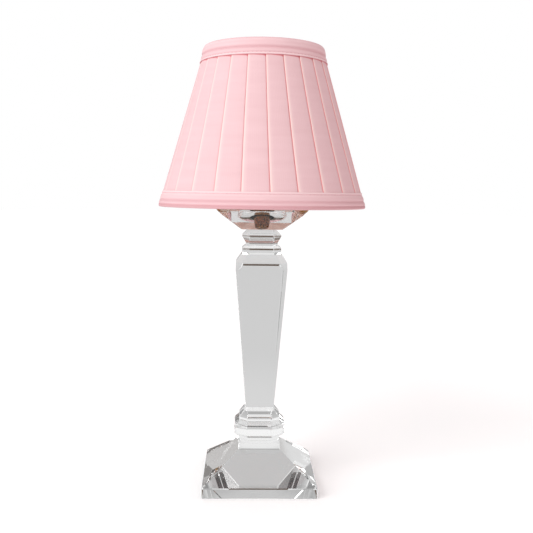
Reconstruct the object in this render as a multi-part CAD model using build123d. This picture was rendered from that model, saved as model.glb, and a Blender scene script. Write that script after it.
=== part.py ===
from build123d import *
import math
import os

# All sizes are in millimetres, Z is up and the lamp stands on Z = 0, centred on the origin.

# Crystal base: a square plinth, four long slopes and a short square collar
base_width = 70.0
plinth_height = 6.2
slope_height = 17.0
collar_width = 25.6
collar_height = 3.7

# Cut-corner tiers: each keeps the same front facet, and its corner cut sets how far it stands out
facet_width = 15.2

# Lower neck and knop
neck_corner = 4.8
neck_height = 4.0
knop_foot_corner = 6.8
knop_foot_height = 1.3
knop_corner = 8.2
knop_band_height = 6.3
knop_bevel_height = 2.6
tier_corner = 5.2
tier_band_height = 1.5
tier_bevel_height = 3.9
tier_top_corner = 1.9

# Column: widens upwards, with bevelled edges and a sloping shoulder
column_foot_width = 17.4
column_foot_bevel = 1.1
column_width = 31.8
column_bevel = 2.1
column_height = 94.3
shoulder_corner = 4.4
shoulder_corner_height = 4.6
shoulder_width = 25.0
shoulder_top_corner = 3.6
shoulder_height = 4.9

# Upper neck: a banded rib, a waist and a pointed rib
rib_corner = 4.5
lower_rib_height = 4.0
lower_rib_bevel = 1.4
waist_corner = 2.3
waist_height = 1.9
upper_rib_bevel = 3.6
upper_rib_height = 1.0
neck_top_corner = 0.7

# Crystal head: an inverted pyramid under a tall upright rim, with its corners cut upright
head_foot_width = 25.7
head_width = 55.4
head_corner_width = 66.0
head_slope_height = 11.7
head_rim_height = 9.8
recess_diameter = 30.6
recess_depth = 5.3
recess_cove = 2.4

# Brass socket cup, cemented into the head
cup_diameter = 10.4
cup_foot_diameter = 8.4
cup_depth = 10.4
cup_wall = 0.8
cup_round = 2.2
cup_lip_diameter = 15.0
cup_lip = 0.8
cement_gap = 0.05

# Candle tube on its peg
peg_gap = 0.3
peg_floor_gap = 0.6
peg_round = 1.5
foot_diameter = 25.6
foot_height = 2.0
foot_edge = 0.7
boss_height = 6.0
tube_wall = 0.7
seat_gap = 0.05

# Candle, its follower and the spring under it
candle_diameter = 18.4
candle_length = 23.0
candle_tip_diameter = 8.2
candle_tip_end = 3.4
candle_tip_height = 7.0
wick_diameter = 1.6
wick_height = 7.0
follower_wall = 0.8
follower_floor = 1.2
follower_rim = 4.0
slide_gap = 0.3
spring_length = 22.0
spring_wire = 1.0
spring_turns = 7
spring_gap = 0.6

# Bayonet cap
cap_gap = 0.3
cap_plate = 1.2
cap_wall = 0.8
cap_skirt = 10.5
cap_hole_diameter = 9.6
cap_bead = 1.2
cap_bead_height = 1.0
pin_diameter = 2.0
pin_drop = 5.6
pin_sink = 0.4
pin_count = 2
pin_clearance = 0.3
twist_angle = 30.0

# Shade carrier on the cap
collar_gap = 0.3
collar_wall = 1.4
collar_skirt = 6.0
collar_lip = 1.0
collar_lip_width = 2.6
arm_count = 3
arm_wire = 2.2
arm_reach = 6.5
arm_bend = 5.0
arm_sink = 0.7
carrier_rise = 15.0
carrier_ring_radius = 26.2
carrier_ring_width = 4.0
carrier_ring_plate = 1.2
carrier_lip = 1.2
carrier_lip_height = 2.0

# Shade frame
gallery_gap = 0.5
gallery_width = 3.1
gallery_plate = 1.0
gallery_drop = 22.3
frame_wire = 2.0
rib_count = 6
spoke_count = 3
spoke_sink = 0.2

# Shade cloth: a stiff lining, knife pleats over it and a folded band at each end
cone_top_diameter = 72.0
cone_bottom_diameter = 128.0
shade_height = 96.7
pleat_count = 24
pleat_phase = 2.2
pleat_depth = 0.9
pleat_overlap = 1.0
cover_thickness = 0.6
lining_thickness = 0.6
cloth_gap = 0.05
band_thickness = 0.4
band_fold = 0.6
top_band_height = 9.5
bottom_band_height = 9.6
band_roll = 0.6


# Heights, worked out from the floor upwards
plinth_top = plinth_height
collar_foot = plinth_top + slope_height
base_top = collar_foot + collar_height
neck_top = base_top + neck_height
knop_top = (neck_top + knop_foot_height + knop_band_height + knop_bevel_height
            + tier_band_height + tier_bevel_height)
shoulder_foot = knop_top + column_height
column_top = shoulder_foot + shoulder_height
head_foot = (column_top + lower_rib_height + lower_rib_bevel + waist_height
             + upper_rib_bevel + upper_rib_height + upper_rib_bevel)
head_slope_top = head_foot + head_slope_height
head_top = head_slope_top + head_rim_height
recess_floor = head_top - recess_depth
foot_bottom = recess_floor + cup_lip
foot_top = foot_bottom + foot_height
boss_top = foot_top + boss_height
follower_bottom = boss_top + spring_length
candle_bottom = follower_bottom + follower_floor
tube_top = candle_bottom + candle_length
cap_bottom = tube_top + cap_gap
cap_top = cap_bottom + cap_plate
pin_height = tube_top - pin_drop
carrier_top = cap_top + carrier_rise
shade_top = carrier_top + gallery_drop
shade_bottom = shade_top - shade_height

# Radii of the nested round pieces, worked out from the candle outwards
candle_radius = candle_diameter / 2
follower_bore = candle_radius + seat_gap
follower_radius = follower_bore + follower_wall
tube_bore = follower_radius + slide_gap
tube_radius = tube_bore + tube_wall
cap_bore = tube_radius + cap_gap
cap_radius = cap_bore + cap_wall
carrier_bore = cap_radius + collar_gap
carrier_radius = carrier_bore + collar_wall

# The shade's cone and the layers inside it
cone_slope = (cone_bottom_diameter - cone_top_diameter) / 2 / shade_height
slope_cosine = math.cos(math.atan(cone_slope))
wire_radius = frame_wire / 2
cover_inset = pleat_depth + cover_thickness
lining_outset = cover_inset + cloth_gap
lining_inset = lining_outset + lining_thickness
wire_inset = lining_inset + (wire_radius + cloth_gap) / slope_cosine
top_ring_height = shade_top - band_fold - cloth_gap - wire_radius
bottom_ring_height = shade_bottom + band_fold + cloth_gap + wire_radius


def cone_radius(height, inset=0.0):
    return cone_top_diameter / 2 + (shade_top - height) * cone_slope - inset


def spin(outline, radii=None):
    # A solid turned about Z from an outline of (radius, height) points with rounded corners
    radii = radii or {}
    corners = [radii.get(i, 0.0) for i in range(len(outline))]
    edge = FilletPolyline(*outline, radius=corners, close=True) if radii else Polyline(*outline, close=True)
    return revolve(Plane.XZ * make_face(edge), Axis.Z)


def cut_square(width, corner, height):
    # A square across its flats with its four corners cut off
    half = width / 2
    flat = half - corner
    points = [(half, -flat), (half, flat), (flat, half), (-flat, half)]
    points += [(-x, -y) for x, y in points]
    return Pos(0, 0, height) * make_face(Polyline(*points, close=True))


def faceted(levels):
    # A crystal piece with flat facets between its levels of (width, corner cut, height)
    return loft([cut_square(*level) for level in levels], ruled=True)


def tier(corner, height):
    return (facet_width + 2 * corner, corner, height)


def around(piece, count, start=0.0):
    return [Rot(0, 0, start + 360.0 / count * i) * piece for i in range(count)]


def rod(start, end, diameter):
    path = Line(start, end)
    return sweep(Plane(origin=start, z_dir=path % 0) * Circle(diameter / 2), path)


def save(name, *solids):
    shape = solids[0] if len(solids) == 1 else Compound(children=list(solids))
    export_step(shape, f"parts/{name}.step")


# Crystal candlestick
def base_block():
    plinth = extrude(Rectangle(base_width, base_width), plinth_height)
    slopes = loft([Pos(0, 0, plinth_top) * Rectangle(base_width, base_width),
                   Pos(0, 0, collar_foot) * Rectangle(collar_width, collar_width)], ruled=True)
    collar = Pos(0, 0, collar_foot) * extrude(Rectangle(collar_width, collar_width), collar_height)
    return plinth + slopes + collar


def lower_neck():
    return faceted([tier(neck_corner, base_top), tier(neck_corner, neck_top)])


def lower_knop():
    band_foot = neck_top + knop_foot_height
    band_top = band_foot + knop_band_height
    tier_foot = band_top + knop_bevel_height
    tier_top = tier_foot + tier_band_height
    return faceted([
        tier(knop_foot_corner, neck_top),
        tier(knop_corner, band_foot),
        tier(knop_corner, band_top),
        tier(tier_corner, tier_foot),
        tier(tier_corner, tier_top),
        tier(tier_top_corner, knop_top),
    ])


def column():
    return faceted([
        (column_foot_width, column_foot_bevel, knop_top),
        (column_width, column_bevel, shoulder_foot - shoulder_corner_height),
        (column_width, shoulder_corner, shoulder_foot),
        (shoulder_width, shoulder_top_corner, column_top),
    ])


def upper_neck():
    rib_top = column_top + lower_rib_height
    waist_foot = rib_top + lower_rib_bevel
    waist_top = waist_foot + waist_height
    point_foot = waist_top + upper_rib_bevel
    point_top = point_foot + upper_rib_height
    return faceted([
        tier(rib_corner, column_top),
        tier(rib_corner, rib_top),
        tier(waist_corner, waist_foot),
        tier(waist_corner, waist_top),
        tier(rib_corner, point_foot),
        tier(rib_corner, point_top),
        tier(neck_top_corner, head_foot),
    ])


def cup_outline(inset, floor, mouth):
    # The tapered socket, drawn in by a wall or a gap, from its floor to its mouth
    return [
        (0, floor),
        (cup_foot_diameter / 2 - inset, floor),
        (cup_diameter / 2 - inset, mouth),
        (0, mouth),
    ]


def drip_pan():
    slopes = loft([Pos(0, 0, head_foot) * Rectangle(head_foot_width, head_foot_width),
                   Pos(0, 0, head_slope_top) * Rectangle(head_width, head_width)], ruled=True)
    rim = Pos(0, 0, head_slope_top) * extrude(Rectangle(head_width, head_width), head_rim_height)
    corners = Pos(0, 0, head_foot) * extrude(
        Rot(0, 0, 45) * Rectangle(head_corner_width, head_corner_width), head_top - head_foot)
    recess_radius = recess_diameter / 2
    recess = spin([(0, recess_floor), (recess_radius, recess_floor), (recess_radius, head_top), (0, head_top)],
                  {1: recess_cove})
    socket = spin(cup_outline(-cement_gap, recess_floor - cup_depth - cement_gap, recess_floor),
                  {1: cup_round + cement_gap})
    return ((slopes + rim) & corners) - recess - socket


def socket_cup():
    body = spin(cup_outline(0, recess_floor - cup_depth, recess_floor), {1: cup_round})
    lip = Pos(0, 0, recess_floor) * extrude(Circle(cup_lip_diameter / 2), cup_lip)
    hollow = spin(cup_outline(cup_wall, recess_floor - cup_depth + cup_wall, foot_bottom),
                  {1: cup_round - cup_wall})
    return body + lip - hollow


# Candle tube
def tube_peg():
    peg = spin(cup_outline(cup_wall + peg_gap, recess_floor - cup_depth + cup_wall + peg_floor_gap, foot_bottom),
               {1: peg_round})
    foot_radius = foot_diameter / 2
    foot = spin([(0, foot_bottom), (foot_radius, foot_bottom), (foot_radius, foot_top), (0, foot_top)],
                {1: foot_edge, 2: foot_edge})
    boss = Pos(0, 0, foot_top) * extrude(Circle(tube_bore - seat_gap), boss_height)
    return peg + foot + boss


def candle_tube():
    return spin([(tube_bore, foot_top), (tube_radius, foot_top), (tube_radius, tube_top), (tube_bore, tube_top)])


def bayonet_pins():
    start = (tube_radius - pin_sink, 0, pin_height)
    end = (cap_radius, 0, pin_height)
    return around(rod(start, end, pin_diameter), pin_count)


def candle_spring():
    # A helix of quarter-turn arcs, each through three points of the coil
    radius = tube_bore - spring_gap - spring_wire / 2
    rise = (spring_length - spring_wire) / spring_turns
    foot = boss_top + spring_wire / 2

    def coil_point(turn):
        angle = turn * 2 * math.pi
        return Vector(radius * math.cos(angle), radius * math.sin(angle), foot + rise * turn)

    steps = spring_turns * 4
    arcs = [ThreePointArc(coil_point(i / 4), coil_point((i + 0.5) / 4), coil_point((i + 1) / 4))
            for i in range(steps)]
    path = Wire(arcs)
    print(f"candle_spring: least gap between turns {rise - spring_wire:.2f} mm")
    return sweep(Plane(origin=path @ 0, z_dir=path % 0) * Circle(spring_wire / 2), path)


# Candle and what pushes it
def follower():
    rim_top = candle_bottom + follower_rim
    return spin([
        (0, follower_bottom),
        (follower_radius, follower_bottom),
        (follower_radius, rim_top),
        (follower_bore, rim_top),
        (follower_bore, candle_bottom),
        (0, candle_bottom),
    ])


def candle():
    bore = wick_diameter / 2 + seat_gap
    tip_top = tube_top + candle_tip_height
    return spin([
        (bore, candle_bottom),
        (candle_radius, candle_bottom),
        (candle_radius, tube_top),
        (candle_tip_diameter / 2, tube_top),
        (candle_tip_end / 2, tip_top),
        (bore, tip_top),
    ])


def wick():
    length = candle_length + candle_tip_height + wick_height
    return Pos(0, 0, candle_bottom) * extrude(Circle(wick_diameter / 2), length)


# Bayonet cap: each slot runs round from the locked pin and then down to the skirt's edge
def tube_cap():
    skirt_foot = cap_bottom - cap_skirt
    hole = cap_hole_diameter / 2
    bead_top = cap_top + cap_bead_height
    shell = spin([
        (hole, cap_bottom),
        (cap_bore, cap_bottom),
        (cap_bore, skirt_foot),
        (cap_radius, skirt_foot),
        (cap_radius, cap_top),
        (hole + cap_bead, cap_top),
        (hole + cap_bead, bead_top),
        (hole, bead_top),
    ])
    slot_height = pin_diameter + 2 * pin_clearance
    slot_foot = pin_height - slot_height / 2
    reach = cap_radius + cap_wall
    run = revolve(
        Plane.XZ * Pos(cap_bore + cap_wall / 2, pin_height) * Rectangle(3 * cap_wall, slot_height),
        Axis.Z, revolution_arc=twist_angle)
    drop = Pos(reach / 2, 0, (slot_foot + slot_height + skirt_foot - cap_wall) / 2) * Box(
        reach, slot_height, slot_foot + slot_height - skirt_foot + cap_wall)
    end = Pos(0, 0, pin_height) * Rot(0, 90, 0) * extrude(Circle(slot_height / 2), reach)
    slot = Rot(0, 0, -twist_angle) * (run + drop) + end
    for cut in around(slot, pin_count):
        shell -= cut
    return shell


# Shade carrier
def carrier_collar():
    lip_radius = carrier_radius - collar_wall - collar_lip_width
    skirt_foot = cap_top - collar_skirt
    lip_top = cap_top + collar_lip
    return spin([
        (carrier_bore, skirt_foot),
        (carrier_radius, skirt_foot),
        (carrier_radius, lip_top),
        (lip_radius, lip_top),
        (lip_radius, cap_top),
        (carrier_bore, cap_top),
    ])


def carrier_arms():
    start_height = cap_top - collar_skirt / 2
    end_radius = carrier_ring_radius + carrier_ring_width / 2
    end_height = carrier_top - carrier_ring_plate + arm_sink
    path = FilletPolyline(
        (carrier_radius - arm_sink, 0, start_height),
        (carrier_radius + arm_reach, 0, start_height),
        (end_radius, 0, start_height + arm_reach),
        (end_radius, 0, end_height),
        radius=arm_bend)
    arm = sweep(Plane(origin=path @ 0, z_dir=path % 0) * Circle(arm_wire / 2), path)
    return around(arm, arm_count, 30.0)


def carrier_ring():
    outer = carrier_ring_radius + carrier_ring_width
    lip = carrier_ring_radius + carrier_lip
    plate_foot = carrier_top - carrier_ring_plate
    lip_top = carrier_top + carrier_lip_height
    return spin([
        (carrier_ring_radius, plate_foot),
        (outer, plate_foot),
        (outer, carrier_top),
        (lip, carrier_top),
        (lip, lip_top),
        (carrier_ring_radius, lip_top),
    ])


# Shade frame
def gallery_bore():
    return carrier_ring_radius + carrier_lip + gallery_gap


def gallery_ring():
    bore = gallery_bore()
    outer = bore + gallery_width
    top = carrier_top + gallery_plate
    return spin([(bore, carrier_top), (outer, carrier_top), (outer, top), (bore, top)])


def gallery_spokes():
    height = carrier_top + gallery_plate + wire_radius - spoke_sink
    start = (gallery_bore() + wire_radius, 0, height)
    end = (cone_radius(height, wire_inset), 0, height)
    return around(rod(start, end, frame_wire), spoke_count)


def frame_ring(height):
    radius = cone_radius(height, wire_inset)
    return revolve(Plane.XZ * Pos(radius, height) * Circle(wire_radius), Axis.Z)


def frame_ribs():
    start = (cone_radius(bottom_ring_height, wire_inset), 0, bottom_ring_height)
    end = (cone_radius(top_ring_height, wire_inset), 0, top_ring_height)
    return around(rod(start, end, frame_wire), rib_count)


# Shade cloth
def cone_shell(outset, inset, foot, top):
    return spin([
        (cone_radius(foot, inset), foot),
        (cone_radius(foot, outset), foot),
        (cone_radius(top, outset), top),
        (cone_radius(top, inset), top),
    ])


def shade_lining():
    foot = shade_bottom + band_fold + cloth_gap
    top = shade_top - band_fold - cloth_gap
    return cone_shell(lining_outset, lining_inset, foot, top)


def pleat_face(height):
    # Each pleat falls from its folded edge to the root under the next edge
    pitch = 360.0 / pleat_count
    points = []
    for i in range(pleat_count):
        fold = pleat_phase + pitch * i
        crest = cone_radius(height)
        for angle, drop in ((fold, 0.0), (fold + pitch / 2, 0.5), (fold + pitch + pleat_overlap, 1.0)):
            turn = math.radians(angle)
            radius = crest - pleat_depth * drop
            points.append((radius * math.cos(turn), radius * math.sin(turn)))
    return Pos(0, 0, height) * make_face(Polyline(*points, close=True))


def shade_cover():
    foot = shade_bottom + band_fold + cloth_gap
    top = shade_top - band_fold - cloth_gap
    outside = loft([pleat_face(foot), pleat_face(top)], ruled=True)
    inside = spin([
        (0, foot),
        (cone_radius(foot, cover_inset), foot),
        (cone_radius(top, cover_inset), top),
        (0, top),
    ])
    return outside - inside


def top_band():
    foot = shade_top - top_band_height
    web = shade_top - band_fold
    inner = cone_radius(web, wire_inset + wire_radius)
    return spin([
        (cone_radius(foot, -cloth_gap), foot),
        (cone_radius(foot, -cloth_gap - band_thickness), foot),
        (cone_radius(web, -cloth_gap - band_thickness - band_roll), web),
        (cone_radius(web, -cloth_gap - band_thickness), shade_top),
        (inner, shade_top),
        (inner, web),
        (cone_radius(web, -cloth_gap), web),
    ])


def bottom_band():
    top = shade_bottom + bottom_band_height
    web = shade_bottom + band_fold
    inner = cone_radius(web, wire_inset + wire_radius)
    return spin([
        (cone_radius(top, -cloth_gap), top),
        (cone_radius(top, -cloth_gap - band_thickness), top),
        (cone_radius(web, -cloth_gap - band_thickness), web),
        (cone_radius(web, -cloth_gap), shade_bottom),
        (inner, shade_bottom),
        (inner, web),
        (cone_radius(web, -cloth_gap), web),
    ])


os.makedirs("parts", exist_ok=True)
for make in (base_block, lower_neck, lower_knop, column, upper_neck, drip_pan, socket_cup,
             tube_peg, candle_tube, candle_spring, follower, candle, wick, tube_cap,
             carrier_collar, carrier_ring, gallery_ring, shade_lining, shade_cover, top_band, bottom_band):
    save(make.__name__, make())
for make in (bayonet_pins, carrier_arms, gallery_spokes, frame_ribs):
    save(make.__name__, *make())
save("top_ring", frame_ring(top_ring_height))
save("bottom_ring", frame_ring(bottom_ring_height))
print(f"overall height {shade_top:.1f} mm, shade from {shade_bottom:.1f} mm")
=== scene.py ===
import math
import bpy
import bmesh
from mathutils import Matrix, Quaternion, Vector


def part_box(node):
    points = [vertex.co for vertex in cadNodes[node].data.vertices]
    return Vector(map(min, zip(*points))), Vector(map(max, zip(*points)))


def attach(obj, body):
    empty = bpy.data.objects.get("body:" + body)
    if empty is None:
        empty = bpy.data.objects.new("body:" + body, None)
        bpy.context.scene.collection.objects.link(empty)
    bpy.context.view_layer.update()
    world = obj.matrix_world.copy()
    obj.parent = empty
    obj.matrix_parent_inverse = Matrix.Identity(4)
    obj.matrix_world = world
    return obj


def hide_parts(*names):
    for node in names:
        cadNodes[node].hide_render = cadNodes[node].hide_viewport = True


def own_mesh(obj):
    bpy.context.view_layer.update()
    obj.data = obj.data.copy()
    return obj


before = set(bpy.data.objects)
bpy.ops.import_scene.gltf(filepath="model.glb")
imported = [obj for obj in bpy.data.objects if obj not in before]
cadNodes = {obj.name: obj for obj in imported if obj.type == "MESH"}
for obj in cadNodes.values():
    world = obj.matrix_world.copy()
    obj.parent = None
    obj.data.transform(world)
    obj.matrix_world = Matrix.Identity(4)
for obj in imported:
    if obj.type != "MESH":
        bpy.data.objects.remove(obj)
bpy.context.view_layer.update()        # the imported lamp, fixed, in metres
mm = 0.001


# small helpers that every stage uses
def linear(hexColour):
    channels = [int(hexColour[i:i + 2], 16) / 255 for i in (0, 2, 4)]
    return [c / 12.92 if c <= 0.04045 else ((c + 0.055) / 1.055) ** 2.4 for c in channels] + [1.0]


def addNode(tree, kind, settings=None, inputs=None):
    # an input is a value, a socket, or a node that stands for its first output
    made = tree.nodes.new(kind)
    for name, value in (settings or {}).items():
        setattr(made, name, value)
    for key, value in (inputs or {}).items():
        if isinstance(value, bpy.types.Node):
            value = value.outputs[0]
        if isinstance(value, bpy.types.NodeSocket):
            tree.links.new(value, made.inputs[key])
        else:
            made.inputs[key].default_value = value
    return made


def setRamp(made, marks):
    # greys along a ramp
    spots = made.color_ramp.elements
    for mark in marks[1:-1]:
        spots.new(mark[0])
    for spot, (place, share) in zip(spots, marks):
        spot.position = place
        spot.color = (share, share, share, 1)
    return made.outputs["Color"]


def setCurve(made, marks):
    # points along an eased line
    line = made.mapping.curves[0].points
    for mark in marks[1:-1]:
        line.new(*mark)
    for spot, mark in zip(line, marks):
        spot.location = mark
        spot.handle_type = "AUTO_CLAMPED"
    made.mapping.update()
    return made.outputs[0]


def newMaterial(name):
    made = bpy.data.materials.new(name)
    made.use_nodes = True
    made.node_tree.nodes.clear()
    return made, made.node_tree


def closeMaterial(tree, shader):
    addNode(tree, "ShaderNodeOutputMaterial", inputs={"Surface": shader})


def newObject(name, mesh, *materials):
    made = bpy.data.objects.new(name, mesh)
    bpy.context.scene.collection.objects.link(made)
    for material in materials:
        mesh.materials.append(material)
    return made


def bakeTree(name, tree, values):
    # runs a node tree on an empty mesh and keeps the result as a plain mesh
    holder = newObject(name, bpy.data.meshes.new(name))
    modifier = holder.modifiers.new("nodes", "NODES")
    modifier.node_group = tree
    for item in tree.interface.items_tree:
        if item.in_out == "INPUT":
            modifier[item.identifier] = values[item.name]
    bpy.context.view_layer.update()
    depsgraph = bpy.context.evaluated_depsgraph_get()
    made = bpy.data.meshes.new_from_object(holder.evaluated_get(depsgraph), depsgraph=depsgraph)
    holder.modifiers.remove(modifier)
    holder.data = made
    return holder


def newTree(name, sockets):
    made = bpy.data.node_groups.new(name, "GeometryNodeTree")
    made.interface.new_socket("Geometry", in_out="OUTPUT", socket_type="NodeSocketGeometry")
    for label, kind in sockets.items():
        made.interface.new_socket(label, in_out="INPUT", socket_type="NodeSocket" + kind)
    return made, addNode(made, "NodeGroupInput").outputs


def closeTree(tree, geometry, material):
    soft = addNode(tree, "GeometryNodeSetShadeSmooth", inputs={"Geometry": geometry})
    finished = addNode(tree, "GeometryNodeSetMaterial", inputs={"Geometry": soft, "Material": material})
    addNode(tree, "NodeGroupOutput", inputs={0: finished})
    return tree


# camera, where the photo was taken from
viewPoint = {
    "place": (-10.6, -475.7, 185.1),     # mm
    "heading": 1.68,                     # degrees to the right of straight ahead
    "pitch": 5.735,                      # degrees down
    "roll": 0.788,                       # degrees, right side lower
    "lens": 51.26,
    "sensor": 36.0,
    "clip": (0.01, 40.0),                # metres
}


def setCamera():
    data = bpy.data.cameras.new("camera")
    data.lens = viewPoint["lens"]
    data.sensor_width = viewPoint["sensor"]
    camera = bpy.data.objects.new("camera", data)
    bpy.context.scene.collection.objects.link(camera)
    heading, pitch = math.radians(viewPoint["heading"]), math.radians(viewPoint["pitch"])
    level = math.cos(pitch)
    ahead = Vector((math.sin(heading) * level, math.cos(heading) * level, -math.sin(pitch)))
    roll = Quaternion((0, 0, 1), math.radians(viewPoint["roll"]))
    camera.location = Vector(viewPoint["place"]) * mm
    camera.rotation_mode = "QUATERNION"
    camera.rotation_quaternion = ahead.to_track_quat("-Z", "Y") @ roll
    data.clip_start, data.clip_end = viewPoint["clip"]
    bpy.context.scene.camera = camera


# stage: a white floor and backdrop, and the pale grey studio that the crystal and brass pick up.
# Turns, reaches and rises are parts of a direction of length 1.
studio = {
    "floorRadius": 6.0,      # metres, and the backdrop's too
    "floorSides": 96,
    "backdropSides": (48, 24),
    "paper": (0.95, 0.98),
    "paperGrain": 400.0,
    "sky": 0.67,             # even light on cloth and floor
    "warmSide": (0.98, 0.77, 0.77, 1.0),     # and its tint from the right
    "warmReach": 0.7,
    "floorLight": 0.2,       # the white table is lit from below as well
    "wall": (0.6, 0.88),     # the wall that the crystal sees, behind and at the sides
    "wallTurn": (0.2, 0.55),
    "ceiling": 0.85,         # share of the wall's brightness at 35 degrees up
    "ceilingRise": 0.57,
    "front": 0.12,           # share of it on the dark side, behind the camera
    "frontTurn": (-0.2, -0.6),
    "room": "6B5340",        # the dim room beyond the far end of the paper, low down behind the lamp
    "roomTurn": (0.8, 0.9),
    "roomRise": [(0.0, 0.0), (0.03, 0.0), (0.042, 1.0), (0.115, 1.0), (0.135, 0.0), (1.0, 0.0)],
    # the floor that the crystal sees: (metres from the lamp, brightness), with painted shade: a dark ring close round
    # the base as its painted shadow, brighter painted light under it and from 9 to 15 cm out, then dimmer with
    # distance
    "floorShadeAndLight": [(0.0, 0.88), (0.03, 0.86), (0.042, 0.44), (0.056, 0.44), (0.068, 0.62), (0.09, 0.92), (0.15, 0.92),
                  (0.2, 0.76), (0.26, 0.7), (0.36, 0.69), (0.6, 0.65)],
    "glowDrop": 0.2 * mm,    # that floor lies just under the white one
    "leftCard": {"place": (-0.75, 0.1, 0.425), "size": (0.9, 0.55), "strength": 0.3},
    "rightCard": {"place": (0.8, 0.15, 0.37), "size": (0.7, 0.44), "strength": 0.3},
    "sunStrength": 1.75,
    "sunSpread": 45,         # degrees, as soft as a wide window
    "sunFrom": (-0.80, -0.68, 0.58),
}
gleams = ("glossy", "transmission")
allButGleams = ("camera", "diffuse", "volume_scatter", "shadow")
allButCamera = ("diffuse", "glossy", "transmission", "volume_scatter", "shadow")


def hideFrom(piece, rays):
    for ray in rays:
        setattr(piece, "visible_" + ray, False)


def makeDisc(name, height, material):
    mesh = bpy.data.meshes.new(name)
    shape = bmesh.new()
    bmesh.ops.create_circle(shape, cap_ends=True, segments=studio["floorSides"], radius=studio["floorRadius"])
    bmesh.ops.translate(shape, verts=shape.verts, vec=(0, 0, height))
    shape.to_mesh(mesh)
    return newObject(name, mesh, material)


def makeGlow(name, strength):
    made, tree = newMaterial(name)
    closeMaterial(tree, addNode(tree, "ShaderNodeEmission", inputs={"Color": (1, 1, 1, 1), "Strength": strength}))
    return made


def makeCard(name, card):
    mesh = bpy.data.meshes.new(name)
    shape = bmesh.new()
    bmesh.ops.create_grid(shape, x_segments=1, y_segments=1, size=0.5)
    place = Vector(card["place"])
    wide = Vector((-place.y, place.x, 0)).normalized() * card["size"][0]
    for corner in shape.verts:
        corner.co = place + wide * corner.co.x + Vector((0, 0, card["size"][1] * corner.co.y))
    shape.to_mesh(mesh)
    made = newObject(name, mesh, makeGlow(name, card["strength"]))
    hideFrom(made, allButGleams)


def makeStage():
    floorPaint, tree = newMaterial("floor_matt_white_paper")
    place = addNode(tree, "ShaderNodeTexCoord").outputs["Object"]
    grain = addNode(tree, "ShaderNodeTexNoise", inputs={"Vector": place, "Scale": studio["paperGrain"]})
    tone = addNode(tree, "ShaderNodeMapRange", inputs={
        "Value": grain.outputs["Fac"], "To Min": studio["paper"][0], "To Max": studio["paper"][1]})
    closeMaterial(tree, addNode(tree, "ShaderNodeBsdfPrincipled", inputs={
        "Base Color": tone.outputs["Result"], "Roughness": 1.0, "Specular IOR Level": 0.0,
        "Emission Color": (1, 1, 1, 1), "Emission Strength": studio["floorLight"]}))
    floor = makeDisc("floor", 0.0, floorPaint)
    hideFrom(floor, gleams)
    # a glowing floor for the crystal only, its brightness painted by distance: painted shadow round the base, painted
    # light under and beyond it
    glowPaint, tree = newMaterial("floor_seen_in_crystal")
    place = addNode(tree, "ShaderNodeTexCoord").outputs["Object"]
    reach = studio["floorShadeAndLight"][-1][0]
    distance = addNode(tree, "ShaderNodeVectorMath", {"operation": "LENGTH"}, {0: place})
    share = addNode(tree, "ShaderNodeMath", {"operation": "DIVIDE"}, {0: distance.outputs["Value"], 1: reach})
    tone = setRamp(addNode(tree, "ShaderNodeValToRGB", inputs={0: share}), [
        (metres / reach, bright) for metres, bright in studio["floorShadeAndLight"]])
    closeMaterial(tree, addNode(tree, "ShaderNodeEmission", inputs={"Color": tone}))
    floorGlow = makeDisc("floor_glow", -studio["glowDrop"], glowPaint)
    hideFrom(floorGlow, allButGleams)
    backMesh = bpy.data.meshes.new("backdrop")
    shape = bmesh.new()
    roundSides, upSides = studio["backdropSides"]
    bmesh.ops.create_uvsphere(shape, u_segments=roundSides, v_segments=upSides, radius=studio["floorRadius"])
    shape.to_mesh(backMesh)
    backdrop = newObject("backdrop", backMesh, makeGlow("backdrop_white", 1.0))
    hideFrom(backdrop, allButCamera)
    makeCard("left_card", studio["leftCard"])
    makeCard("right_card", studio["rightCard"])


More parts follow.
